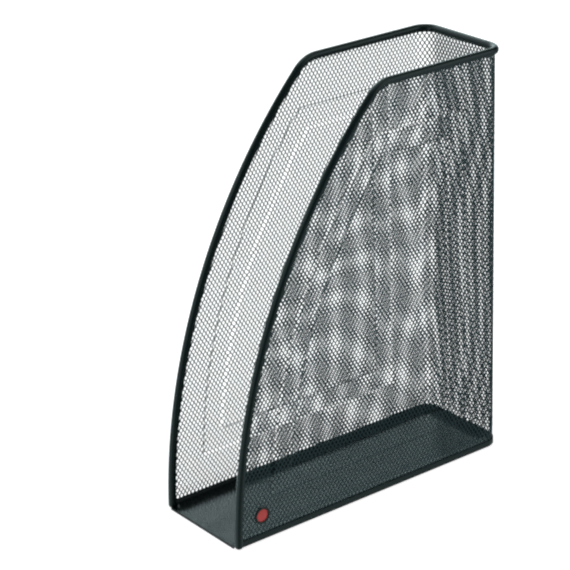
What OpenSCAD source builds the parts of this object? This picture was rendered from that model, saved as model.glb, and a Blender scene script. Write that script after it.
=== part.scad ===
// Magazine file of expanded steel mesh.
// The mesh sheet is bent round the back and is held along its open edge in a slit rim tube.
// Its foot is clamped between the flange of a folded sheet tray and a bottom band.
// The open front faces -Y, the width runs along X, and the desk is at z = 0.

/* [Overall] */
// Height over the top rim
height = 320; // [280:1:380]
// Width over the rims of both sides
width = 88; // [70:1:130]
// Depth over the front and rear rims
depth = 258; // [225:1:310]

/* [Rim tube] */
// Outside diameter of the tube
rim_d = 6; // [5:0.1:8]
// Wall of the tube
rim_wall = 0.6; // [0.4:0.05:1.2]
// Sweep radius of the front edge, at the middle of the tube
front_r = 460; // [400:5:600]
// Depth of the sweep's centre below the desk
front_drop = 10; // [0:1:20]
// Radius of the shoulder between the front edge and the top, at the middle of the tube
shoulder_r = 24; // [16:1:48]
// Radius of the rear corners, at the middle of the tube
corner_r = 12; // [9:0.5:20]

/* [Mesh sheet] */
// Thickness of the expanded sheet
mesh_t = 0.5; // [0.3:0.05:1]
// Width of a diamond, between the middles of its strands
cell_w = 10.3; // [9:0.1:20]
// Height of a diamond, between the middles of its strands
cell_h = 16.3; // [12:0.1:28]
// Width of a strand
strand_w = 2; // [1.4:0.1:4]

/* [Pressed frame] */
// Width of the band that is pressed outwards round the middle of each side
bead_w = 16.3; // [10:0.1:22]
// Height of the band above the sheet
bead_up = 1.7; // [1:0.1:2.2]
// Distance of the band inside the middle of the rim, at the top and at the rear
bead_in = 37; // [32:0.5:48]
// Distance of the band inside the middle of the rim, where the front edge meets the shoulder
bead_front = 21; // [16:0.5:30]
// Radius of the band's front edge
bead_r = 405; // [380:1:430]
// Height of the band's lower edge above the desk
bead_low = 32.5; // [28:0.5:45]

/* [Base tray] */
// Thickness of the tray's sheet
tray_t = 0.7; // [0.4:0.05:1.2]
// Height of the flange's top edge above the desk
flange_h = 5.4; // [5:0.1:14]
// Inside radius of the fold between floor and flange
fold_r = 1.6; // [1:0.1:3]
// Gap between the tray or band and the rim tubes, filled by the coating
rim_gap = 0.3; // [0.1:0.05:0.6]

/* [Bottom band] */
// Thickness of the band's sheet
band_t = 0.7; // [0.4:0.05:1.2]
// Height of the band
band_h = 5; // [4:0.5:12]
// Width of the foot that turns in under the tray
foot_w = 7; // [4:0.5:12]

/* [Badge] */
// Diameter of the plain round badge
badge_d = 13; // [8:0.5:16]
// Thickness of the badge
badge_t = 1.4; // [1:0.1:2.5]
// Distance of the badge's middle behind the front of the rim
badge_back = 24; // [18:0.5:40]
// Height of the badge's middle above the desk
badge_up = 20; // [18:0.5:40]

/* [Hidden] */
$fn = 64;

coat = "#232b2b";
mesh_coat = "#3a4242";
tray_coat = "#4a5252";
enamel = "#8f2a2e";

// A worked-out place, to the nearest thousandth of a millimetre
function to_micron(length) = round(length * 1000) / 1000;

// Middle line of the rim
rim_r = rim_d / 2;
side_x = width / 2 - rim_r;
front_y = rim_r - depth / 2;
rear_y = depth / 2 - rim_r;
top_z = height - rim_r;

// Centre of the front sweep, and of the shoulder that runs into it without a kink
sweep_y = front_y + front_r;
sweep_z = -front_drop;
shoulder_z = top_z - shoulder_r;
centre_gap = front_r - shoulder_r;
shoulder_y = to_micron(sweep_y - sqrt(centre_gap ^ 2 - (shoulder_z - sweep_z) ^ 2));
shoulder_a = asin((shoulder_z - sweep_z) / centre_gap);

// Centre of the pressed band's front edge, on the line from the sweep's centre to the shoulder
bead_shift = front_r - bead_front - bead_r;
bead_y = to_micron(sweep_y - bead_shift * cos(shoulder_a));
bead_z = to_micron(sweep_z + bead_shift * sin(shoulder_a));

// Axis of the rear corners
bend_x = side_x - corner_r;
bend_y = rear_y - corner_r;

// Faces of the mesh sheet, and the stack below it
mesh_in = corner_r - mesh_t / 2;
mesh_out = corner_r + mesh_t / 2;
mesh_foot = band_t;
floor_low = band_t;
floor_top = floor_low + tray_t;
fold_out = fold_r + tray_t;
fold_end = mesh_in - fold_out;

// Where the tray and the band begin behind the front tubes, and where the tray's tongue passes between them
lean = front_r - sqrt(front_r ^ 2 - (front_drop + flange_h) ^ 2);
behind_rim = to_micron(front_y + lean + rim_r + rim_gap);
tongue_x = side_x - rim_r - rim_gap;
lip_y = -depth / 2;

// Diamonds lie in rows that are shifted by half a cell in turn, with a crossing behind the badge
badge_y = badge_back - depth / 2;
badge_z = badge_up;
open_low = band_h;
open_top = top_z - rim_r;
open_front_r = front_r - rim_r;
column_w = corner_r * PI / 4;

// Share of a cell that stays open when each side gives half a strand
function open_share(w, h) = 1 - strand_w * norm([w, h]) / (w * h);

// Limits of the open field on a side: front edge at a height, and top edge at a depth
function field_front(z) = sweep_y - sqrt(open_front_r ^ 2 - (z - sweep_z) ^ 2);
function field_top(y) = min(open_top, sweep_z + sqrt(max(0, open_front_r ^ 2 - min(0, y - sweep_y) ^ 2)));

// Height of a row of openings
function row_z(row) = badge_z + row * cell_h / 2;
rows = [ceil((open_low - badge_z) / cell_h * 2) : floor((open_top - badge_z) / cell_h * 2)];
row_list = [for (row = rows) if (row_z(row) > open_low + strand_w && row_z(row) < open_top - strand_w) row];

// Shift of a row against its neighbours, as a share of the cell's width
function row_shift(row) = (row % 2 == 0) ? 0.5 : 0;

// An opening with its four tips kept inside the open field
module opening(mid, reach, left, right, low, top) {
    polygon([
        [max(mid.x - reach.x, left), mid.y],
        [mid.x, max(mid.y - reach.y, low)],
        [min(mid.x + reach.x, right), mid.y],
        [mid.x, min(mid.y + reach.y, top)]
    ]);
}

// Local x, y and z become Y, Z and X
module in_side_plane() {
    rotate([90, 0, 90])
        children();
}

// Slit tube in section, with the slit towards -X
module rim_section() {
    difference() {
        circle(d = rim_d);
        circle(d = rim_d - 2 * rim_wall);
        translate([-rim_d, -mesh_t / 2])
            square([rim_d, mesh_t]);
    }
}

// Front length of the rim, swept up from the desk to the shoulder
module rim_front() {
    difference() {
        in_side_plane()
            translate([sweep_y, sweep_z])
                rotate(180 - shoulder_a)
                    rotate_extrude(angle = shoulder_a)
                        translate([front_r, 0])
                            rim_section();
        translate([-rim_d, front_y - rim_d, -front_drop - rim_d])
            cube([2 * rim_d, depth, front_drop + rim_d]);
    }
}

module rim_front_left() {
    color(coat)
        translate([-side_x, 0, 0])
            rim_front();
}

module rim_front_right() {
    color(coat)
        translate([side_x, 0, 0])
            rim_front();
}

// Shoulder and straight top of one side, in the side's own plane
module rim_shoulder() {
    translate([shoulder_y, shoulder_z])
        rotate(90)
            rotate_extrude(angle = 90 - shoulder_a)
                translate([shoulder_r, 0])
                    rim_section();
    translate([shoulder_y, top_z])
        rotate([0, 90, 0])
            linear_extrude(bend_y - shoulder_y)
                rotate(90)
                    rim_section();
}

// Half of the top rim, up to the middle of the back
module rim_top_half() {
    translate([side_x, 0, 0])
        in_side_plane()
            rim_shoulder();
    translate([bend_x, bend_y, top_z])
        rotate_extrude(angle = 90)
            translate([corner_r, 0])
                rotate(90)
                    rim_section();
    translate([0, rear_y, top_z])
        rotate([0, 90, 0])
            linear_extrude(bend_x)
                rotate(180)
                    rim_section();
}

module rim_top() {
    color(coat) {
        rim_top_half();
        mirror([1, 0, 0])
            rim_top_half();
    }
}

// Flat outline of a side in its own plane, from the bend line to the middle of the rim
module side_outline() {
    difference() {
        intersection() {
            translate([front_y, mesh_foot])
                square([bend_y - front_y, top_z - mesh_foot]);
            translate([sweep_y, sweep_z])
                circle(r = front_r);
        }
        translate([shoulder_y, shoulder_z])
            difference() {
                polygon([
                    [0, 0],
                    [0, 2 * shoulder_r],
                    2 * shoulder_r * [-sin(90 - shoulder_a), cos(90 - shoulder_a)]
                ]);
                circle(r = shoulder_r);
            }
    }
}

module side_openings() {
    reach = open_share(cell_w, cell_h) / 2 * [cell_w, cell_h];
    last_y = bend_y - strand_w / 2;
    columns = [floor((front_y - badge_y) / cell_w) : ceil((bend_y - badge_y) / cell_w)];
    for (row = row_list)
        for (column = columns)
            let (mid = [badge_y + (column + row_shift(row)) * cell_w, row_z(row)])
                if (mid.x > field_front(mid.y) + strand_w / 2 && mid.x < last_y - strand_w / 2)
                    if (mid.y < field_top(mid.x) - strand_w / 2)
                        opening(mid, reach, field_front(mid.y), last_y, open_low, field_top(mid.x));
}

// Outline of the pressed band's outer edge, moved inwards by an inset
module bead_outline(inset) {
    low = bead_low + inset;
    reach = [rear_y - bead_in - inset - front_y, top_z - bead_in - inset - low];
    intersection() {
        translate([front_y, low])
            square(reach);
        translate([bead_y, bead_z])
            circle(r = bead_r - inset);
    }
}

// The pressed band in the side's own plane, less a wall at both edges
module bead_band(wall) {
    difference() {
        bead_outline(wall);
        bead_outline(bead_w - wall);
    }
}

// A side with its band pressed outwards to an even sheet, and the diamonds cut through sheet and band
module mesh_side() {
    in_side_plane()
        difference() {
            union() {
                linear_extrude(mesh_t, center = true)
                    side_outline();
                translate([0, 0, -mesh_t / 2])
                    linear_extrude(mesh_t + bead_up)
                        bead_band(0);
            }
            translate([0, 0, -mesh_t])
                linear_extrude(mesh_t / 2 + bead_up)
                    bead_band(mesh_t);
            translate([0, 0, -mesh_t])
                linear_extrude(2 * mesh_t + bead_up)
                    side_openings();
        }
}

module mesh_side_left() {
    color(mesh_coat)
        mirror([1, 0, 0])
            translate([side_x, 0, 0])
                mesh_side();
}

module mesh_side_right() {
    color(mesh_coat)
        translate([side_x, 0, 0])
            mesh_side();
}

module back_openings() {
    reach = open_share(cell_w, cell_h) / 2 * [cell_w, cell_h];
    last_x = bend_x - strand_w / 2;
    columns = ceil(bend_x / cell_w);
    for (row = row_list)
        for (column = [-columns : columns])
            let (mid = [(column + row_shift(row)) * cell_w, row_z(row)])
                if (abs(mid.x) < last_x - strand_w / 2)
                    opening(mid, reach, -last_x, last_x, open_low, open_top);
}

module mesh_back() {
    color(mesh_coat)
        translate([0, rear_y, 0])
            rotate([90, 0, 0])
                linear_extrude(mesh_t, center = true)
                    difference() {
                        translate([-bend_x, mesh_foot])
                            square([2 * bend_x, top_z - mesh_foot]);
                        back_openings();
                    }
}

// Openings of the bend in one column, pushed out from the corner's axis
module corner_column(angle, shift) {
    reach = open_share(column_w, cell_h) / 2 * [column_w, cell_h];
    rotate(angle)
        rotate([90, 0, 90])
            linear_extrude(2 * corner_r)
                for (row = row_list)
                    if (row_shift(row) == shift)
                        opening([0, row_z(row)], reach, -reach.x, reach.x, open_low, open_top);
}

module mesh_corner() {
    difference() {
        translate([0, 0, mesh_foot])
            rotate_extrude(angle = 90)
                translate([mesh_in, 0])
                    square([mesh_t, top_z - mesh_foot]);
        corner_column(45, 0.5);
        corner_column(22.5, 0);
        corner_column(67.5, 0);
    }
}

module mesh_corner_right() {
    color(mesh_coat)
        translate([bend_x, bend_y, 0])
            mesh_corner();
}

module mesh_corner_left() {
    color(mesh_coat)
        mirror([1, 0, 0])
            translate([bend_x, bend_y, 0])
                mesh_corner();
}

// Carries a section round the foot of the mesh: along a side, round a corner and to the middle of the back.
// The section's x is its distance from the corner's axis, and its y is its height.
module round_foot_half() {
    translate([bend_x, bend_y, 0]) {
        rotate([90, 0, 0])
            linear_extrude(bend_y - behind_rim)
                children();
        rotate_extrude(angle = 90)
            children();
        rotate([90, 0, -90])
            mirror([1, 0, 0])
                linear_extrude(bend_x)
                    children();
    }
}

module round_foot() {
    round_foot_half()
        children();
    mirror([1, 0, 0])
        round_foot_half()
            children();
}

// Flange and fold of the tray in section
module flange_section() {
    translate([mesh_in - tray_t, floor_low + fold_out])
        square([tray_t, flange_h - floor_low - fold_out]);
    translate([fold_end, floor_low + fold_out])
        intersection() {
            difference() {
                circle(r = fold_out);
                circle(r = fold_r);
            }
            translate([0, -fold_out])
                square(fold_out);
        }
}

// Flat floor between the folds, with a tongue between the front tubes
module floor_outline() {
    translate([-tongue_x, lip_y + floor_top])
        square([2 * tongue_x, bend_y - lip_y - floor_top]);
    translate([-bend_x - fold_end, behind_rim])
        square([2 * (bend_x + fold_end), bend_y - behind_rim]);
    translate([-bend_x, behind_rim])
        square([2 * bend_x, bend_y + fold_end - behind_rim]);
    for (side = [-1, 1])
        translate([side * bend_x, bend_y])
            circle(r = fold_end);
}

// Front edge of the tongue in section, turned down to the desk
module lip_section() {
    translate([lip_y + floor_top, 0])
        intersection() {
            difference() {
                circle(r = floor_top);
                circle(r = floor_low);
            }
            translate([-floor_top, 0])
                square(floor_top);
        }
}

module base_tray() {
    color(tray_coat) {
        round_foot()
            flange_section();
        translate([0, 0, floor_low])
            linear_extrude(tray_t)
                floor_outline();
        in_side_plane()
            linear_extrude(2 * tongue_x, center = true)
                lip_section();
    }
}

// Angle of the band in section: upright leg outside the mesh, and foot under the tray
module band_section() {
    translate([mesh_out, band_t])
        square([band_t, band_h - band_t]);
    translate([mesh_out - foot_w, 0])
        square([foot_w, band_t]);
    intersection() {
        translate([mesh_out, band_t])
            circle(r = band_t);
        translate([mesh_out, 0])
            square(band_t);
    }
}

module bottom_band() {
    color(coat)
        round_foot()
            band_section();
}

module badge() {
    color(enamel)
        translate([side_x + mesh_t / 2, badge_y, badge_z])
            rotate([0, 90, 0])
                cylinder(d = badge_d, h = badge_t);
}

rim_top();
rim_front_left();
rim_front_right();
mesh_side_left();
mesh_side_right();
mesh_back();
mesh_corner_left();
mesh_corner_right();
base_tray();
bottom_band();
badge();
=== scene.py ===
import math

import bmesh
import bpy
import numpy as np
from mathutils import Matrix


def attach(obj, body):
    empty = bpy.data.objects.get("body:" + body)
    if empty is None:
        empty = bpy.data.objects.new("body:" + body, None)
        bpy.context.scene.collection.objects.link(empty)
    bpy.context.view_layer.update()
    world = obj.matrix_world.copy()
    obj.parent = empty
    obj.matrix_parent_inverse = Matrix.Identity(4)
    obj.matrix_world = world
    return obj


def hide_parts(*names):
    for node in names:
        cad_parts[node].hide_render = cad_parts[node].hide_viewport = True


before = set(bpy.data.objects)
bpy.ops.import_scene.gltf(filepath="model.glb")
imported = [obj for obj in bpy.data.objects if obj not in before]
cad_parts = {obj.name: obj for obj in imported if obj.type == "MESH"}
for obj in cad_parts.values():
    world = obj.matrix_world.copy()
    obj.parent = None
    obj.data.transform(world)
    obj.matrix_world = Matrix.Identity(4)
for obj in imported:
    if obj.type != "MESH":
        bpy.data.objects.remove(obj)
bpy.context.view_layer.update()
mm = 0.001
weldDistance = 2e-6
sharpAngle = math.radians(40)
print("frame loaded:", len(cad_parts), "nodes")

# Sizes of the file that all pieces share, in millimetres, as in the part's source
fileSizes = {
    "width": 88.0,
    "depth": 258.0,
    "height": 320.0,
    "tubeDiameter": 6.0,
    "frontRadius": 460.0,
    "frontDrop": 10.0,
    "shoulderRadius": 24.0,
    "cornerRadius": 12.0,
}
tubeRadius = fileSizes["tubeDiameter"] / 2
sideX = fileSizes["width"] / 2 - tubeRadius
frontY = tubeRadius - fileSizes["depth"] / 2
rearY = fileSizes["depth"] / 2 - tubeRadius
topZ = fileSizes["height"] - tubeRadius
cornerRadius = fileSizes["cornerRadius"]
bendX = sideX - cornerRadius
bendY = rearY - cornerRadius
frontRadius = fileSizes["frontRadius"]
shoulderRadius = fileSizes["shoulderRadius"]
sweepY = frontY + frontRadius
sweepZ = -fileSizes["frontDrop"]
shoulderZ = topZ - shoulderRadius
centreGap = frontRadius - shoulderRadius
shoulderY = sweepY - math.sqrt(centreGap ** 2 - (shoulderZ - sweepZ) ** 2)
shoulderAngle = math.asin((shoulderZ - sweepZ) / centreGap)
cornerLength = cornerRadius * math.pi / 2
sideStart = bendX + cornerLength


# Puts points in millimetres and faces into a new mesh object, welds doubles, and shades smooth up to
# sharp edges
def makePiece(name, points, faces, smooth=True, weld=True):
    mesh = bpy.data.meshes.new(name)
    mesh.from_pydata((np.asarray(points, float) * mm).tolist(), [], [list(f) for f in faces])
    if weld:
        work = bmesh.new()
        work.from_mesh(mesh)
        bmesh.ops.remove_doubles(work, verts=work.verts, dist=weldDistance)
        work.to_mesh(mesh)
        work.free()
    mesh.polygons.foreach_set("use_smooth", np.full(len(mesh.polygons), smooth))
    if smooth:
        mesh.set_sharp_from_angle(angle=sharpAngle)
    mesh.update()
    piece = bpy.data.objects.new(name, mesh)
    bpy.context.scene.collection.objects.link(piece)
    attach(piece, "root")
    return piece


# Quads of a grid of rows by columns, numbered row by row; closed columns join the last one to the first
def gridFaces(rows, columns, closeColumns=False, first=0):
    r = np.arange(rows - 1)[:, None] * columns
    c = np.arange(columns if closeColumns else columns - 1)[None, :]
    rNext, cNext = r + columns, (c + 1) % columns
    quads = np.stack([r + c, r + cNext, rNext + cNext, rNext + c], -1)
    return quads.reshape(-1, 4) + first


# The U that the sheet follows round the back: s runs along its middle line from the middle of the back,
# positive to the right, and off is the distance outwards from that line. Gives x and y.
def aroundBack(s, off):
    run = np.abs(s)
    turn = np.clip((run - bendX) / cornerRadius, 0, math.pi / 2)
    past = np.maximum(run - sideStart, 0)
    x = np.minimum(run, bendX) + (cornerRadius + off) * np.sin(turn)
    y = bendY + (cornerRadius + off) * np.cos(turn) - past
    return np.sign(s) * x, y


# Steps of the tray and the band along one half of the U
footSteps = {"back": 8, "bend": 14, "side": 24}


# Stops along the U from one front end to the other, close together in the bends
def footStops(frontEnd):
    back = np.linspace(0, bendX, footSteps["back"] + 1)[1:]
    bend = np.linspace(bendX, sideStart, footSteps["bend"] + 1)[1:]
    side = np.linspace(sideStart, sideStart + bendY - frontEnd, footSteps["side"] + 1)[1:]
    half = np.concatenate([back, bend, side])
    return np.concatenate([-half[::-1], [0.0], half])


# Linear colour of an sRGB hex value
def linearColour(code):
    c = np.array([int(code[i:i + 2], 16) for i in (1, 3, 5)]) / 255
    c = np.where(c <= 0.04045, c / 12.92, ((c + 0.055) / 1.055) ** 2.4)
    return (*c, 1.0)


# Adds a node with its settings; a socket among the inputs is linked, any other value is set
def addNode(tree, kind, inputs=None, **settings):
    node = tree.nodes.new(kind)
    for key, value in settings.items():
        setattr(node, key, value)
    for key, value in (inputs or {}).items():
        if isinstance(value, bpy.types.NodeSocket):
            tree.links.new(value, node.inputs[key])
        else:
            node.inputs[key].default_value = value
    return node


# What the coats share: the noise of their clouds and ripple, where on the noise the colours and the gloss
# are reached, and the film's refraction
coatFilm = {
    "cloudDetail": 3.0, "cloudRoughness": 0.55, "peelDetail": 1.5, "peelRoughness": 0.5,
    "darkAt": 0.3, "paleAt": 0.72, "smoothAt": 0.3, "roughAt": 0.7, "ior": 1.5,
}


# Powder coat: dry epoxy powder is sprayed on the steel and baked, so it flows out to a satin film with a fine
# orange-peel ripple. It gives the eye a green-black with soft highlights that break up a little.
def powderCoat(name, settings):
    material = bpy.data.materials.new(name)
    material.use_nodes = True
    tree = material.node_tree
    tree.nodes.clear()
    place = addNode(tree, "ShaderNodeTexCoord").outputs["Object"]
    cloud = addNode(tree, "ShaderNodeTexNoise", {
        "Vector": place, "Scale": 1 / (settings["cloudSize"] * mm),
        "Detail": coatFilm["cloudDetail"], "Roughness": coatFilm["cloudRoughness"]})
    peel = addNode(tree, "ShaderNodeTexNoise", {
        "Vector": place, "Scale": 1 / (settings["peelSize"] * mm),
        "Detail": coatFilm["peelDetail"], "Roughness": coatFilm["peelRoughness"]})
    colour = addNode(tree, "ShaderNodeValToRGB", {"Fac": cloud.outputs["Fac"]})
    colour.color_ramp.elements[0].position = coatFilm["darkAt"]
    colour.color_ramp.elements[1].position = coatFilm["paleAt"]
    colour.color_ramp.elements[0].color = linearColour(settings["colour"])
    colour.color_ramp.elements[1].color = linearColour(settings["paler"])
    gloss = addNode(tree, "ShaderNodeMapRange", {
        "Value": cloud.outputs["Fac"], "From Min": coatFilm["smoothAt"], "From Max": coatFilm["roughAt"],
        "To Min": settings["roughness"] - settings["roughnessSpread"],
        "To Max": settings["roughness"] + settings["roughnessSpread"]})
    ripple = addNode(tree, "ShaderNodeBump", {
        "Height": peel.outputs["Fac"], "Strength": settings["peelStrength"],
        "Distance": settings["peelDepth"] * mm})
    shader = addNode(tree, "ShaderNodeBsdfPrincipled", {
        "Base Color": colour.outputs["Color"], "Roughness": gloss.outputs["Result"],
        "Normal": ripple.outputs["Normal"], "IOR": coatFilm["ior"],
        "Specular IOR Level": settings["specular"]})
    addNode(tree, "ShaderNodeOutputMaterial", {"Surface": shader.outputs["BSDF"]})
    return material


# Colours and film of the coat on tube, mesh and sheet; sizes in millimetres. All three are one powder coat.
# The mesh's colour is the coat's own green-black made paler with painted light, for the light its tilted
# strands catch from above. The sheet's is the coat made darker with painted shade, so that the floor by the
# flange goes black.
tubeCoat = {
    "colour": "#091515", "paler": "#0d1919", "roughness": 0.22, "roughnessSpread": 0.03,
    "cloudSize": 14.0, "peelSize": 0.9, "peelStrength": 0.25, "peelDepth": 0.05, "specular": 0.5,
}
# Painted light: the mesh's coat is paler than the tube's, for the light that its tilted strands catch from
# above
meshCoatPaleredWithPaintedLight = {
    "colour": "#0f272b", "paler": "#152e33", "roughness": 0.34, "roughnessSpread": 0.05,
    "cloudSize": 18.0, "peelSize": 0.5, "peelStrength": 0.15, "peelDepth": 0.03, "specular": 0.5,
}
# Painted shade: the sheet's coat is darker than the tube's, so that the floor by the flange, where little
# light reaches, goes black
sheetCoatDarkenedWithPaintedShade = {
    "colour": "#050d0e", "paler": "#081012", "roughness": 0.17, "roughnessSpread": 0.02,
    "cloudSize": 30.0, "peelSize": 0.9, "peelStrength": 0.06, "peelDepth": 0.04, "specular": 0.5,
}
tubeMaterial = powderCoat("epoxyPowderCoatOnTube", tubeCoat)
meshMaterialPaleredWithPaintedLight = powderCoat("epoxyPowderCoatOnExpandedSteelPaintedLight", meshCoatPaleredWithPaintedLight)
sheetMaterialDarkenedWithPaintedShade = powderCoat("epoxyPowderCoatOnSheetSteelPaintedShade", sheetCoatDarkenedWithPaintedShade)
print("coats mixed")

# Rim tube
rimTube = {
    "slitHalf": 0.32,      # half width of the slit that grips the mesh
    "slitDepth": 1.1,
    "slitSharpness": 8,    # power with which the slit's walls fall
    "lipStops": (0.0, 0.55, 0.85, 1.0, 1.25, 1.7, 2.3),  # angles across the slit's lip, over its half width
    "lipAngle": 18.0,      # degrees from the slit where the even steps round the tube begin
    "lipDip": 0.12,        # how far the lips of the slit are rolled in
    "lipSpread": 1.5,      # and over how many half widths
    "aroundSteps": 40,
    "frontSteps": 90,
    "shoulderSteps": 22,
    "topSteps": 24,
    "cornerSteps": 20,
    "backSteps": 12,
    "endFillet": 2.4,      # rounding of the closed ends on the desk
    "endSteps": 9,
    "endGap": 0.6,         # between that rounding and the next step
}


# Middle line of the right half of the rim, from the desk to the middle of the back, with the direction
# towards the mesh: an arc about the sweep's centre, an arc about the shoulder's centre, a straight, the
# corner's arc and a straight
def rimHalf():
    low = math.asin(-sweepZ / frontRadius)
    a = np.linspace(low, shoulderAngle, rimTube["frontSteps"])
    front = np.stack([np.full_like(a, sideX), sweepY - frontRadius * np.cos(a),
                      sweepZ + frontRadius * np.sin(a)], 1)
    frontIn = np.stack([np.zeros_like(a), np.cos(a), -np.sin(a)], 1)
    b = np.linspace(shoulderAngle, math.pi / 2, rimTube["shoulderSteps"])[1:]
    shoulder = np.stack([np.full_like(b, sideX), shoulderY - shoulderRadius * np.cos(b),
                         shoulderZ + shoulderRadius * np.sin(b)], 1)
    shoulderIn = np.stack([np.zeros_like(b), np.cos(b), -np.sin(b)], 1)
    straight = np.linspace(shoulderY, bendY, rimTube["topSteps"])[1:-1]
    s = np.concatenate([bendY - straight + sideStart,
                        np.linspace(sideStart, bendX, rimTube["cornerSteps"]),
                        np.linspace(bendX, 0, rimTube["backSteps"])[1:]])
    x, y = aroundBack(s, 0.0)
    top = np.stack([x, y, np.full_like(s, topZ)], 1)
    topIn = np.tile([0.0, 0.0, -1.0], (len(s), 1))
    return np.concatenate([front, shoulder, top]), np.concatenate([frontIn, shoulderIn, topIn])


# The tube is its round section, a circle with a slit towards the mesh, carried along the middle line; at
# each end the section shrinks as a quarter circle does, so the end is closed and rounded
def makeRim():
    half, halfIn = rimHalf()
    mirror = np.array([-1.0, 1.0, 1.0])
    line = np.concatenate([half, (half * mirror)[-2::-1]])
    inward = np.concatenate([halfIn, (halfIn * mirror)[-2::-1]])
    along = np.gradient(line, axis=0)
    along /= np.linalg.norm(along, axis=1, keepdims=True)
    across = np.cross(along, inward)
    across /= np.linalg.norm(across, axis=1, keepdims=True)
    inward = np.cross(across, along)
    turn = np.deg2rad(rimTube["lipAngle"])
    edge = rimTube["slitHalf"] / tubeRadius
    lip = np.array(rimTube["lipStops"]) * edge
    wide = np.linspace(turn, math.pi, rimTube["aroundSteps"] // 2)
    angle = np.concatenate([lip, wide, 2 * math.pi - wide[-2::-1], 2 * math.pi - lip[:0:-1]])
    fromSlit = np.minimum(angle, 2 * math.pi - angle) / edge
    radius = tubeRadius - rimTube["slitDepth"] / (1 + fromSlit ** rimTube["slitSharpness"])
    radius = radius - rimTube["lipDip"] * np.exp(-(fromSlit / rimTube["lipSpread"]) ** 2)
    fillet = rimTube["endFillet"]
    steps = np.linspace(0, math.pi / 2, rimTube["endSteps"])
    shrink = 1 - fillet / tubeRadius * (1 - np.sin(steps))
    setBack = fillet * (1 - np.cos(steps))
    run = np.concatenate([[0], np.cumsum(np.linalg.norm(np.diff(line, axis=0), axis=1))])
    gap = rimTube["endGap"]
    inner = (run > fillet + gap) & (run < run[-1] - fillet - gap)
    stations = np.concatenate([setBack, run[inner], run[-1] - setBack[::-1]])
    scale = np.concatenate([shrink, np.ones(inner.sum()), shrink[::-1]])
    at = lambda values: np.stack([np.interp(stations, run, values[:, k]) for k in range(3)], 1)
    mid, n1, n2 = at(line), at(inward), at(across)
    ring = radius[None, :, None] * scale[:, None, None]
    towards, beside = np.cos(angle)[None, :, None], np.sin(angle)[None, :, None]
    points = mid[:, None] + ring * (towards * n1[:, None] + beside * n2[:, None])
    rows, columns = points.shape[:2]
    points = np.concatenate([points.reshape(-1, 3), mid[[0, -1]]])
    faces = gridFaces(rows, columns, closeColumns=True).tolist()
    c = np.arange(columns)
    last = rows * columns
    faces += np.stack([np.full(columns, last), (c + 1) % columns, c], 1).tolist()
    farRing = last - columns
    faces += np.stack([np.full(columns, last + 1), farRing + c, farRing + (c + 1) % columns], 1).tolist()
    return makePiece("rimTube", points, faces)


rim = makeRim()
rim.data.materials.append(tubeMaterial)
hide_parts("rim_top", "rim_front_left", "rim_front_right")
print("rim tube:", len(rim.data.polygons), "faces")

# Expanded mesh
meshSheet = {
    "acrossPitch": 3.42,   # width of a diamond between strand middles
    "upPitch": 5.34,       # height of a diamond between strand middles
    "strand": 0.77,        # width of a strand
    "thickness": 0.45,
    "lean": -0.2,          # how far the press leaves each strand's edges out of the sheet
    "flatRim": (3.0, 4.0),   # distance from the rim where that lean begins, and over which it grows
    "flatFoot": (10.0, 5.0),  # the same above the desk
    "rowRise": 0.04,       # rise of the rows along the back and the right side
    "rowCurl": 0.0002,     # and how it grows along the right side
    "leftLean": -0.017,    # lean of the columns at the left front and at the right front
    "rightLean": -0.02,
    "backStretch": 0.035,  # stretch of the diamonds across the back and along the right side
    "rightStretch": 0.02,
    "unevenness": 0.1,     # drift of the diamonds from their even places, over a hand's breadth
    "sway": 0.4,           # and over most of a side
    "leanSpan": 400.0,     # length over which the left lean passes into the right lean
    "leanHeight": 160.0,   # height at which the lean moves nothing
    "upShift": 20.0,       # height of a crossing
    "lowest": 3.2,         # lowest middle of a diamond, hidden by the band
    "inRim": 0.3,          # a diamond is kept if its middle is this far inside the rim's middle line
    "spareFront": 4.0,     # how far the even field runs past the front edge
    "spareColumns": 6,
    "spareBelow": 45.0,    # and how far below its crossing, since its rows rise
    "spareRows": 2,
    "perMillimetre": 1000,  # points that agree to this part of a millimetre are one
    "keyStep": 10 ** 7,    # more than any height in those parts, so that each point has its own key
}


# Distance inside the rim's middle line: from the front arc, the shoulder's arc or the top, whichever is
# nearest
def insideRim(s, z):
    run = np.abs(s)
    y = bendY - (run - sideStart)
    fromTop = topZ - z
    fromFront = frontRadius - np.hypot(y - sweepY, z - sweepZ)
    dy, dz = y - shoulderY, z - shoulderZ
    angle = np.arctan2(dz, -dy)
    onShoulder = (angle > shoulderAngle) & (angle < math.pi / 2) & (dz > 0)
    side = np.where(onShoulder, shoulderRadius - np.hypot(dy, dz), np.minimum(fromTop, fromFront))
    return np.where(run > sideStart, side, fromTop)


# Band pressed outwards round the middle of each side, which stiffens the sheet
pressedBand = {
    "width": 16.3,
    "height": 1.7,
    "insideRim": 37.0,     # from the rim's middle line, at the top and at the rear
    "insideFront": 21.0,   # from the rim's middle line, where the front edge meets the shoulder
    "frontRadius": 405.0,
    "lowEdge": 32.5,
    "wall": 0.8,           # width of the steep slope at each edge
    "bendReach": 3.0,      # diamonds this close to an edge are drawn finer, so that they bend sharply there
    "bendSteps": 4,
}
bandShift = frontRadius - pressedBand["insideFront"] - pressedBand["frontRadius"]
bandY = sweepY - bandShift * math.cos(shoulderAngle)
bandZ = sweepZ + bandShift * math.sin(shoulderAngle)


# Distance inside the band's outer edge: from its front arc, its top, its rear or its foot, whichever is
# nearest
def insideBand(s, z):
    y = bendY - (np.abs(s) - sideStart)
    fromFront = pressedBand["frontRadius"] - np.hypot(y - bandY, z - bandZ)
    fromTop = topZ - pressedBand["insideRim"] - z
    fromRear = rearY - pressedBand["insideRim"] - y
    return np.minimum(np.minimum(fromFront, fromTop), np.minimum(fromRear, z - pressedBand["lowEdge"]))


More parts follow.
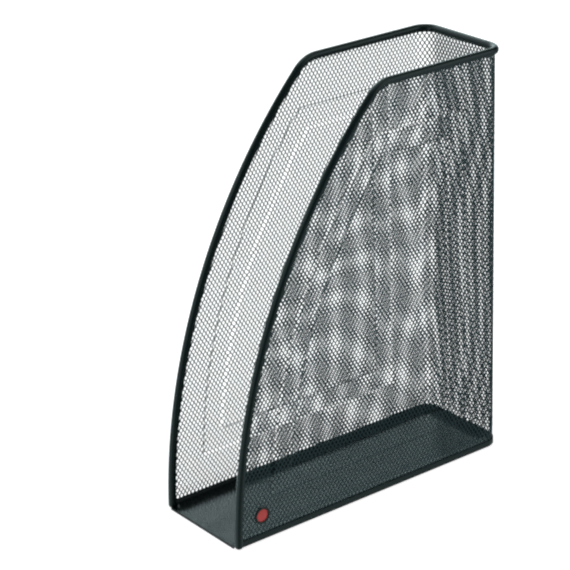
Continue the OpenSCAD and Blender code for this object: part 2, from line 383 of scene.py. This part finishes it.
# How far the sheet stands out at a point: nought outside the band's outer edge and inside its inner edge, the
# band's height between them, and a straight slope at both edges
def pressedOut(s, z):
    inside = insideBand(s, z)
    up = np.clip(inside / pressedBand["wall"] + 0.5, 0, 1)
    down = np.clip((pressedBand["width"] - inside) / pressedBand["wall"] + 0.5, 0, 1)
    return pressedBand["height"] * up * down


# Waves that move the diamonds, shorter and longer ones: millimetres to a radian along s and up z, and phase
driftWaves = {
    "shortAcross": ((13.1, 23.7, 0.6), (-31.0, 14.9, 2.1)),
    "shortUp": ((17.3, -19.9, 1.3), (27.0, 11.7, 4.0)),
    "longAcross": ((43.0, 37.0, 0.9), (-61.0, 29.0, 2.4)),
    "longUp": ((37.0, -47.0, 0.2), (53.0, 31.0, 1.1)),
}


# Sum of one kind's sine waves at a point
def waves(kind, s, z):
    return sum(np.sin(s / alongS + z / upZ + phase) for alongS, upZ, phase in driftWaves[kind])


# Where the press leaves a point of the even field: the diamonds are stretched a little past the left rear
# bend, their rows rise there, the columns lean, and the waves move them
def drift(s, z):
    wave, sway = meshSheet["unevenness"], meshSheet["sway"]
    part = np.clip(s / meshSheet["leanSpan"] + 0.5, 0, 1)
    past = np.maximum(s - sideStart, 0)
    lean = meshSheet["leftLean"] * (1 - part) + meshSheet["rightLean"] * part
    across = s + lean * (z - meshSheet["leanHeight"])
    across = across + meshSheet["backStretch"] * np.clip(s, -sideStart, sideStart)
    across = across + meshSheet["rightStretch"] * past
    across = across + wave * waves("shortAcross", s, z)
    across = across + sway * waves("longAcross", s, z)
    upward = z + meshSheet["rowRise"] * np.maximum(s + sideStart, 0) + meshSheet["rowCurl"] * past ** 2
    upward = upward + wave * waves("shortUp", s, z)
    upward = upward + sway * waves("longUp", s, z)
    return across, upward


# The sheet is a field of diamonds over s and z, laid on the U. Crossings sit where column and row sum to an
# even number and openings where they sum to an odd one. Each opening is a ring of strand quads on each face
# and a ring of walls; near a bend a strand has a few steps along it. Neighbours share the points between
# them, and the edge is closed by walls.
def makeMesh(name, fromS, toS, atBends):
    w, h = meshSheet["acrossPitch"], meshSheet["upPitch"]
    share = 1 - meshSheet["strand"] * math.hypot(w, h) / (w * h)
    steps = pressedBand["bendSteps"] if atBends else 1
    reach = sideStart + bendY - frontY + meshSheet["spareFront"]
    sideColumns = int(reach / w * 2) + meshSheet["spareColumns"]
    i = np.arange(-sideColumns, sideColumns + 1)
    j = np.arange(-int(meshSheet["spareBelow"] / h * 2), int(topZ / h * 2) + meshSheet["spareRows"])
    column, row = (v.ravel() for v in np.meshgrid(i, j, indexing="ij"))
    place = lambda c, r: drift(c * w / 2, meshSheet["upShift"] + r * h / 2)
    s, z = place(column, row)
    inside = insideBand(s, z)
    bend = np.minimum(np.abs(inside), np.abs(inside - pressedBand["width"])) < pressedBand["bendReach"]
    keep = ((column + row) % 2 == 1) & (s >= fromS) & (s < toS) & (z > meshSheet["lowest"])
    keep &= (insideRim(s, z) > meshSheet["inRim"]) & ((bend & (np.abs(s) > sideStart)) == atBends)
    column, row, s, z = column[keep], row[keep], s[keep, None], z[keep, None]
    corner = np.array([[-1, 0], [0, 1], [1, 0], [0, -1]])
    part = np.arange(steps) / steps

    # Steps along the four strands, from each corner to the next
    def ringOf(v):
        stepped = v[..., None] * (1 - part) + np.roll(v, -1, -1)[..., None] * part
        return stepped.reshape(*v.shape[:-1], -1)

    cornerS, cornerZ = place(column[:, None] + corner[:, 0], row[:, None] + corner[:, 1])
    ringS, ringZ, ringAcross = ringOf(cornerS), ringOf(cornerZ), ringOf(corner[:, 0])
    roundS, roundZ = (np.round(v * meshSheet["perMillimetre"]).astype(np.int64) for v in (ringS, ringZ))
    key = roundS * meshSheet["keyStep"] + roundZ
    keys, first, outer = np.unique(key, return_index=True, return_inverse=True)
    outer = outer.reshape(key.shape)
    innerS = s + (ringS - s) * share
    innerZ = z + (ringZ - z) * share
    rimFrom, rimOver = meshSheet["flatRim"]
    footFrom, footOver = meshSheet["flatFoot"]
    ease = np.clip((insideRim(innerS, innerZ) - rimFrom) / rimOver, 0, 1)
    ease = ease * np.clip((innerZ - footFrom) / footOver, 0, 1)
    innerOff = ringAcross * meshSheet["lean"] * ease
    allS = np.concatenate([ringS.ravel()[first], innerS.ravel()])
    allZ = np.concatenate([ringZ.ravel()[first], innerZ.ravel()])
    ringOut = pressedOut(ringS, ringZ)
    allOff = np.concatenate([ringOut.ravel()[first], (innerOff + ringOut).ravel()])
    half = meshSheet["thickness"] / 2
    faceOut = np.stack([*aroundBack(allS, allOff + half), allZ], 1)
    faceIn = np.stack([*aroundBack(allS, allOff - half), allZ], 1)
    points = np.concatenate([faceOut, faceIn])
    count = len(allS)
    inner = len(keys) + np.arange(key.size).reshape(key.shape)
    outerNext, innerNext = np.roll(outer, -1, 1), np.roll(inner, -1, 1)
    quad = lambda a, b, c, d: np.stack([a, b, c, d], -1).reshape(-1, 4)
    faces = [quad(outer, outerNext, innerNext, inner),
             quad(outer, inner, innerNext, outerNext) + count,
             quad(inner, innerNext, innerNext + count, inner + count)]
    edge = ~np.isin(outer * count + outerNext, outerNext * count + outer)
    a, b = outer[edge], outerNext[edge]
    faces.append(quad(b, a, a + count, b + count))
    return makePiece(name, points, np.concatenate(faces), smooth=False, weld=False)


# Where each stretch of the sheet starts and ends, whether it holds the finer diamonds at the pressed band's
# edges, and the nodes that it replaces
pastFront = 400.0
backNodes = ["mesh_back", "mesh_corner_left", "mesh_corner_right"]
meshPieces = {
    "meshSideLeft": (-pastFront, -sideStart, False, ["mesh_side_left"]),
    "meshSideLeftBends": (-pastFront, -sideStart, True, []),
    "meshBackAndCorners": (-sideStart, sideStart, False, backNodes),
    "meshSideRight": (sideStart, pastFront, False, ["mesh_side_right"]),
    "meshSideRightBends": (sideStart, pastFront, True, []),
}
for pieceName, (fromS, toS, atBends, nodes) in meshPieces.items():
    panel = makeMesh(pieceName, fromS, toS, atBends)
    panel.data.materials.append(meshMaterialPaleredWithPaintedLight)
    if nodes:
        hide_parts(*nodes)
    print(pieceName + ":", len(panel.data.polygons) * 2, "triangles")

# Base tray
baseTray = {
    "sheet": 0.7,
    "floorLow": 0.7,
    "flangeTop": 5.4,
    "foldRadius": 1.6,
    "dishReach": 14.5,     # the floor rises softly from this far inside the fold
    "dishRadius": 58.0,
    "floorReach": 9.2,     # how far inside the fold the floor passes into the flange
    "meshGap": 0.25,       # from the sheet's middle to its inner face
    "frontEnd": -123.2,    # where the flange ends, just inside the front tubes
    "tongueX": 38.5,       # into the side of the tubes, where the coat bridges the gap
    "lipPower": 0.5,       # squares the quarter round of the front lip; 1 would be a true round
    "edgeRound": 0.3,
    "dishSteps": 6,
    "foldSteps": 9,
    "edgeSteps": 5,
    "lipSteps": 11,
}


# The flange is a folded section carried round the U: a soft dish, the fold, up the inner face, over a rounded
# edge and down the outer face. The floor is ruled from its left edge to its right edge and is lifted by the
# same dish. A tongue runs out between the tubes and turns down over a squared quarter round. The grids are
# numbered so that they face inwards, and so every face is turned round at the end.
def makeTray():
    t, low = baseTray["sheet"], baseTray["floorLow"]
    top = low + t
    face = -baseTray["meshGap"]
    r, dishR = baseTray["foldRadius"], baseTray["dishRadius"]
    tilt = math.asin(baseTray["dishReach"] / dishR)
    flat = math.asin((baseTray["dishReach"] - baseTray["floorReach"]) / dishR)
    d = np.linspace(flat, tilt, baseTray["dishSteps"])[:-1]
    a = np.linspace(tilt, math.pi / 2, baseTray["foldSteps"])
    e = baseTray["edgeRound"]
    b = np.linspace(0, math.pi / 2, baseTray["edgeSteps"])
    peak = baseTray["flangeTop"]
    foldAt = face - t - r
    foldUp = top + (dishR - r) * (1 - math.cos(tilt)) + r
    dishAt = foldAt + r * math.sin(tilt) - baseTray["dishReach"]
    dish = np.stack([dishAt + dishR * np.sin(d), top + dishR * (1 - np.cos(d))], 1)
    fold = lambda radius: np.stack([foldAt + radius * np.sin(a), foldUp - radius * np.cos(a)], 1)
    upIn = np.concatenate([dish, fold(r)])
    edgeIn = np.stack([face - t + e * (1 - np.cos(b)), peak - e + e * np.sin(b)], 1)
    upOut = np.concatenate([dish - [0, t], fold(r + t)])
    edgeOut = np.stack([face - e * (1 - np.cos(b)), peak - e + e * np.sin(b)], 1)
    section = np.concatenate([upIn, edgeIn, edgeOut[::-1], upOut[::-1]])
    stops = footStops(baseTray["frontEnd"])
    x, y = aroundBack(stops[:, None], section[None, :, 0])
    z = np.broadcast_to(section[None, :, 1], x.shape)
    flange = np.stack([x, y, z], -1)
    rows, columns = x.shape
    faces = gridFaces(rows, columns).tolist()
    pair = np.arange(columns // 2 - 1)
    strip = np.stack([pair, pair + 1, columns - 2 - pair, columns - 1 - pair], 1)
    faces += strip[:, ::-1].tolist() + (strip + (rows - 1) * columns).tolist()
    # floor: rows from the rear fold to the end of the flange, above and below
    middle, back = rows // 2, footSteps["back"]
    foldX, foldY = flange[middle + back:, 0, 0], flange[middle + back:, 0, 1]
    spread = flange[middle - back:middle + back + 1, 0, 0] / bendX
    lipY = -fileSizes["depth"] / 2 + top
    floorX, floorY = np.broadcast_arrays(foldX[:, None] * spread[None], foldY[:, None])
    # tongue: rows from the end of the flange to the front edge, over it and back below, wider than the floor
    q = np.linspace(0, math.pi / 2, baseTray["lipSteps"])
    power = baseTray["lipPower"]
    out, down = np.sin(q) ** power, np.maximum(np.cos(q), 0) ** power
    tongue = baseTray["tongueX"]
    wider = np.array([0.5 * (foldX[-1] + tongue), tongue])
    acrossX = np.concatenate([-wider[::-1], foldX[-1] * spread, wider])
    outY = np.concatenate([[foldY[-1], lipY], lipY - top * out[1:]])
    inY = np.concatenate([[foldY[-1], lipY], lipY - low * out[1:]])
    tongueY = np.concatenate([outY, inY[::-1]])
    tongueZ = np.concatenate([[top, top], top * down[1:], low * down[:0:-1], [low, low]])
    tongueX, tongueY = np.broadcast_arrays(acrossX[None], tongueY[:, None])

    # How far the dish lifts a point of the floor, by its distance inside the U; the lift fades out towards
    # the lip
    def lift(x, y):
        beside, behind = np.abs(x) - bendX, y - bendY
        inBend = (beside > 0) & (behind > 0)
        out = np.where(inBend, np.hypot(beside, behind), np.maximum(beside, behind)) - cornerRadius
        up = np.clip(out - dishAt, 0, baseTray["dishReach"])
        return (dishR - np.sqrt(dishR ** 2 - up ** 2)) * np.clip((y - lipY) / (foldY[-1] - lipY), 0, 1)

    above = np.stack([floorX, floorY, top + lift(floorX, floorY)], -1)
    below = (above - [0, 0, t])[::-1]
    front = np.stack([tongueX, tongueY, tongueZ[:, None] + lift(tongueX, tongueY)], -1)
    parts = [flange, above, below, front]
    first = np.cumsum([0] + [p.shape[0] * p.shape[1] for p in parts])
    for k in (1, 2, 3):
        faces += gridFaces(*parts[k].shape[:2], first=first[k]).tolist()
    # side walls of the tongue, and its rear walls beside the floor
    frontRows, across = front.shape[:2]
    k = np.arange(len(outY) - 1)
    m = frontRows - 1 - k
    wall = np.stack([k * across, (k + 1) * across, (m - 1) * across, m * across], 1) + first[3]
    faces += wall.tolist() + (wall[:, ::-1] + across - 1).tolist()
    c = np.array([0, 1, across - 3, across - 2])
    last = (frontRows - 1) * across
    faces += (np.stack([c, last + c, last + c + 1, c + 1], 1) + first[3]).tolist()
    points = np.concatenate([p.reshape(-1, 3) for p in parts])
    return makePiece("baseTray", points, [f[::-1] for f in faces])


tray = makeTray()
tray.data.materials.append(sheetMaterialDarkenedWithPaintedShade)
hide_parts("base_tray")
print("base tray:", len(tray.data.polygons), "faces")

# Bottom band
bottomBand = {
    "sheet": 0.7,
    "height": 5.0,
    "foot": 7.0,
    "meshGap": 0.25,
    "frontEnd": -123.4,    # just inside the front tubes
    "edgeRound": 0.3,
    "crease": 0.02,        # bevel of the inner corner
    "edgeSteps": 5,
    "cornerSteps": 7,
}


# The band is an angle section carried round the U: an outer line from the foot's inner edge round the bottom
# corner and up the leg, and an inner line back; the two lines pair up, so the ends close with quads
def makeBand():
    t, gap = bottomBand["sheet"], bottomBand["meshGap"]
    e = bottomBand["edgeRound"]
    b = np.linspace(0, math.pi / 2, bottomBand["edgeSteps"])
    a = np.linspace(0, math.pi / 2, bottomBand["cornerSteps"])
    footEnd = gap - bottomBand["foot"]
    crease = np.linspace(0, bottomBand["crease"], len(a))
    outer = np.concatenate([
        np.stack([footEnd + e * (1 - np.sin(b)), e * (1 - np.cos(b))], 1)[::-1],
        np.stack([gap + t * np.sin(a), t * (1 - np.cos(a))], 1),
        np.stack([gap + t - e * (1 - np.cos(b)), bottomBand["height"] - e * (1 - np.sin(b))], 1)])
    inner = np.concatenate([
        np.stack([footEnd + e * (1 - np.sin(b)), t - e * (1 - np.cos(b))], 1)[::-1],
        np.stack([gap - bottomBand["crease"] + crease, t + crease], 1),
        np.stack([gap + e * (1 - np.cos(b)), bottomBand["height"] - e * (1 - np.sin(b))], 1)])
    section = np.concatenate([outer, inner[::-1]])
    stops = footStops(bottomBand["frontEnd"])
    x, y = aroundBack(stops[:, None], section[None, :, 0])
    z = np.broadcast_to(section[None, :, 1], x.shape)
    points = np.stack([x, y, z], -1)
    rows, columns = x.shape
    faces = gridFaces(rows, columns, closeColumns=True).tolist()
    pair = np.arange(columns // 2 - 1)
    strip = np.stack([pair, columns - 1 - pair, columns - 2 - pair, pair + 1], 1)
    faces += strip.tolist() + (strip[:, ::-1] + (rows - 1) * columns).tolist()
    return makePiece("bottomBand", points.reshape(-1, 3), faces)


band = makeBand()
band.data.materials.append(tubeMaterial)
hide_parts("bottom_band")
print("bottom band:", len(band.data.polygons), "faces")

# Badge
plainBadge = {
    "diameter": 13.0,
    "thickness": 1.4,
    "rimWidth": 1.5,
    "sink": 0.25,          # how far the enamel's edge lies below the rim
    "dome": 0.3,
    "backBevel": 0.2,
    "outerRound": 0.35,    # roundings of the plate's rim
    "innerRound": 0.3,
    "enamelSunk": 0.1,     # how far the enamel reaches below the plate's seat, so that no gap shows
    "axisHole": 0.001,     # radius at the axis, small enough for the weld to close
    "meshGap": 0.25,       # from the mesh sheet's middle to the badge's back
    "roundSteps": 6,
    "domeSteps": 10,
    "aroundSteps": 48,
    "frontDistance": 24.0,
    "up": 20.0,
    "enamel": "#ab2f2d",
    "palerEnamel": "#c03d39",
    "cloudSize": 3.0,
    "cloudDetail": 2.0,
    "roughness": 0.16,
    "ior": 1.52,
    "coatWeight": 0.4,
    "coatRoughness": 0.08,
}


# Both parts of the badge are profiles of radius and height turned about the badge's axis, which points out
# along X
def turned(name, profile):
    steps = plainBadge["aroundSteps"]
    angle = np.linspace(0, 2 * math.pi, steps, endpoint=False)
    base = sideX + plainBadge["meshGap"]
    midY, midZ = plainBadge["frontDistance"] - fileSizes["depth"] / 2, plainBadge["up"]
    r, h = profile[:, :1], profile[:, 1:]
    x = np.broadcast_to(base + h, (len(r), steps))
    points = np.stack([x, midY + r * np.cos(angle), midZ + r * np.sin(angle)], -1)
    faces = gridFaces(len(r), steps, closeColumns=True)
    return makePiece(name, points.reshape(-1, 3), faces)


# The plate's profile runs from its flat back round the bevel, up the edge, over the rounded rim and down to
# the seat. The enamel's is a parabola over that seat, with a flat back just below it.
def makeBadge():
    r, t = plainBadge["diameter"] / 2, plainBadge["thickness"]
    rimIn = r - plainBadge["rimWidth"]
    a = np.linspace(0, math.pi / 2, plainBadge["roundSteps"])
    bevel, hole = plainBadge["backBevel"], plainBadge["axisHole"]
    outer, inner = plainBadge["outerRound"], plainBadge["innerRound"]
    seat = t - plainBadge["sink"] - plainBadge["dome"]
    plate = np.concatenate([
        [[hole, 0.0], [r - bevel, 0.0], [r, bevel]],
        np.stack([r - outer * (1 - np.cos(a)), t - outer * (1 - np.sin(a))], 1),
        np.stack([rimIn + inner * np.cos(a), t - inner * (1 - np.sin(a))], 1)[::-1],
        [[rimIn, seat], [hole, seat]]])
    q = np.linspace(0, 1, plainBadge["domeSteps"])
    bulge = t - plainBadge["sink"] - plainBadge["dome"] * q ** 2
    low = seat - plainBadge["enamelSunk"]
    face = np.stack([np.maximum(rimIn * q, hole), bulge], 1)
    face = np.concatenate([[[hole, low], [rimIn, low]], face[::-1]])
    return turned("badgePlate", plate), turned("badgeEnamel", face)


badgePlate, badgeFace = makeBadge()
badgePlate.data.materials.append(tubeMaterial)

# Stoved enamel: a thick glassy paint that fills the badge's face, so it is deep red with a sharp highlight
enamel = bpy.data.materials.new("stovedRedEnamel")
enamel.use_nodes = True
tree = enamel.node_tree
tree.nodes.clear()
place = addNode(tree, "ShaderNodeTexCoord").outputs["Object"]
cloud = addNode(tree, "ShaderNodeTexNoise", {
    "Vector": place, "Scale": 1 / (plainBadge["cloudSize"] * mm), "Detail": plainBadge["cloudDetail"]})
colour = addNode(tree, "ShaderNodeValToRGB", {"Fac": cloud.outputs["Fac"]})
colour.color_ramp.elements[0].color = linearColour(plainBadge["enamel"])
colour.color_ramp.elements[1].color = linearColour(plainBadge["palerEnamel"])
shader = addNode(tree, "ShaderNodeBsdfPrincipled", {
    "Base Color": colour.outputs["Color"], "Roughness": plainBadge["roughness"], "IOR": plainBadge["ior"],
    "Coat Weight": plainBadge["coatWeight"], "Coat Roughness": plainBadge["coatRoughness"]})
addNode(tree, "ShaderNodeOutputMaterial", {"Surface": shader.outputs["BSDF"]})
badgeFace.data.materials.append(enamel)
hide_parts("badge")
print("badge made")

# Stage: a pale floor that glows, a soft light from above, walls behind and to the left that are brightest in
# a strip at about 30 degrees up, a window high on the left, a panel on the right, and a dim room with a
# paler ceiling
stage = {
    "floorColour": "#f4eeee",
    "floorGlow": 0.88,     # so the ground stays white where the file shades it
    "glowColour": "#fffbfb",
    "floorRoughness": 0.9,
    "floorSpecular": 0.0,
    "floorSize": 40.0,     # metres
    "tint": (0.8, 1.0, 1.01),
    "overhead": 0.3,
    "overheadSpread": 90,  # degrees, so shadows stay soft
    "overheadTilt": (-18, -22, 0),
    "softness": 2.3,       # width of the pixel filter, as soft as the photograph
}
far = stage["floorSize"] / 2
floorMesh = bpy.data.meshes.new("paleFloor")
floorMesh.from_pydata([(-far, -far, 0), (far, -far, 0), (far, far, 0), (-far, far, 0)], [], [(0, 1, 2, 3)])
floor = bpy.data.objects.new("paleFloor", floorMesh)
bpy.context.scene.collection.objects.link(floor)
floor.visible_glossy = False
# Matt paper: a bleached sheet with no shine, so the eye gets a plain white ground
paper = bpy.data.materials.new("palePaperSweep")
paper.use_nodes = True
paperShader = paper.node_tree.nodes["Principled BSDF"]
paperShader.inputs["Base Color"].default_value = linearColour(stage["floorColour"])
paperShader.inputs["Roughness"].default_value = stage["floorRoughness"]
paperShader.inputs["Specular IOR Level"].default_value = stage["floorSpecular"]
paperShader.inputs["Emission Color"].default_value = linearColour(stage["glowColour"])
paperShader.inputs["Emission Strength"].default_value = stage["floorGlow"]
floorMesh.materials.append(paper)

world = bpy.data.worlds.new("softStudio")
bpy.context.scene.world = world
world.use_nodes = True
sky = world.node_tree
sky.nodes.clear()
look = addNode(sky, "ShaderNodeTexCoord").outputs["Generated"]


# Lobes of light in the sky: the direction of the middle, the cosines of the angle from there at which the
# light starts and is full, its brightness when full, and its brightness before the start if not nought.
# stripFoot and stripTop are the shares that bound the walls' bright strip; the room is dim below its ceiling.
skyLobes = {
    "wallBehind": ((-0.9, 0.436, 0), 0.72, 0.86, 3.65),
    "wallLeft": ((-0.8, -0.6, 0), -0.1, 0.5, 1.9),
    "stripFoot": ((0, 0, 1), 0.42, 0.54, 1.0, 0.3),
    "stripTop": ((0, 0, -1), -0.6, -0.47, 1.0),
    "panel": ((0.72, 0.557, 0.39), 0.82, 0.96, 0.7),
    "ground": ((0, 0, -1), 0.1, 0.5, 0.15),
    "groundRight": ((0.55, 0.75, -0.37), 0.5, 0.9, 0.2),
    "window": ((-0.7, 0, 0.714), 0.93, 0.985, 1.5),
    "ceilingOfRoom": ((0, 0, 1), 0.75, 0.95, 0.6, 0.06),
}


# Brightness that grows softly from the least to the full as the direction turns towards the lobe's middle
def lobe(name):
    axis, start, full, level, *least = skyLobes[name]
    along = addNode(sky, "ShaderNodeVectorMath", {0: look, 1: axis}, operation="DOT_PRODUCT")
    return addNode(sky, "ShaderNodeMapRange", {
        "Value": along.outputs["Value"], "From Min": start, "From Max": full,
        "To Min": least[0] if least else 0.0, "To Max": level},
        interpolation_type="SMOOTHSTEP").outputs["Result"]


# The two walls times their strip of height, then the rest added in turn
walls = addNode(sky, "ShaderNodeMath", {0: lobe("wallBehind"), 1: lobe("wallLeft")}, operation="ADD")
strip = addNode(sky, "ShaderNodeMath", {0: lobe("stripFoot"), 1: lobe("stripTop")}, operation="MULTIPLY")
skyLight = addNode(sky, "ShaderNodeMath", {
    0: walls.outputs["Value"], 1: strip.outputs["Value"]}, operation="MULTIPLY")
for lobeName in ("panel", "ground", "groundRight", "window", "ceilingOfRoom"):
    skyLight = addNode(sky, "ShaderNodeMath", {
        0: skyLight.outputs["Value"], 1: lobe(lobeName)}, operation="ADD")
glow = addNode(sky, "ShaderNodeBackground", {
    "Color": (*stage["tint"], 1), "Strength": skyLight.outputs["Value"]})
addNode(sky, "ShaderNodeOutputWorld", {"Surface": glow.outputs["Background"]})

lamp = bpy.data.lights.new("overheadSoftLight", "SUN")
lamp.energy = stage["overhead"]
lamp.angle = math.radians(stage["overheadSpread"])
overhead = bpy.data.objects.new("overheadSoftLight", lamp)
overhead.rotation_euler = [math.radians(angle) for angle in stage["overheadTilt"]]
overhead.visible_glossy = False
bpy.context.scene.collection.objects.link(overhead)
bpy.context.scene.cycles.filter_width = stage["softness"]

# Camera at the photograph's angle: the yaw is from the front to the right, and the roll turns it about its
# own axis
photoView = {
    "yaw": 52.75,
    "pitch": 22.98,
    "roll": -1.90,
    "place": (1.1560, -0.9248, 0.7844),
    "lens": 139.07,
    "sensor": 36.0,
    "clip": (0.05, 50.0),  # metres
}
yaw, pitch, roll = (math.radians(photoView[k]) for k in ("yaw", "pitch", "roll"))
right = np.array([math.cos(yaw), math.sin(yaw), 0])
ahead = np.array([-math.sin(yaw) * math.cos(pitch), math.cos(yaw) * math.cos(pitch), -math.sin(pitch)])
up = np.cross(right, ahead)
axes = np.stack([math.cos(roll) * right + math.sin(roll) * up,
                 math.cos(roll) * up - math.sin(roll) * right, -ahead], 1)
turnedView = Matrix(axes.tolist()).to_4x4()
turnedView.translation = photoView["place"]
eye = bpy.data.cameras.new("photoCamera")
eye.lens = photoView["lens"]
eye.sensor_width = photoView["sensor"]
eye.clip_start, eye.clip_end = photoView["clip"]
camera = bpy.data.objects.new("photoCamera", eye)
bpy.context.scene.collection.objects.link(camera)
camera.matrix_world = turnedView
bpy.context.scene.camera = camera
bpy.context.scene.view_settings.view_transform = "Standard"
print("stage, light and camera set")

bpy.context.view_layer.update()
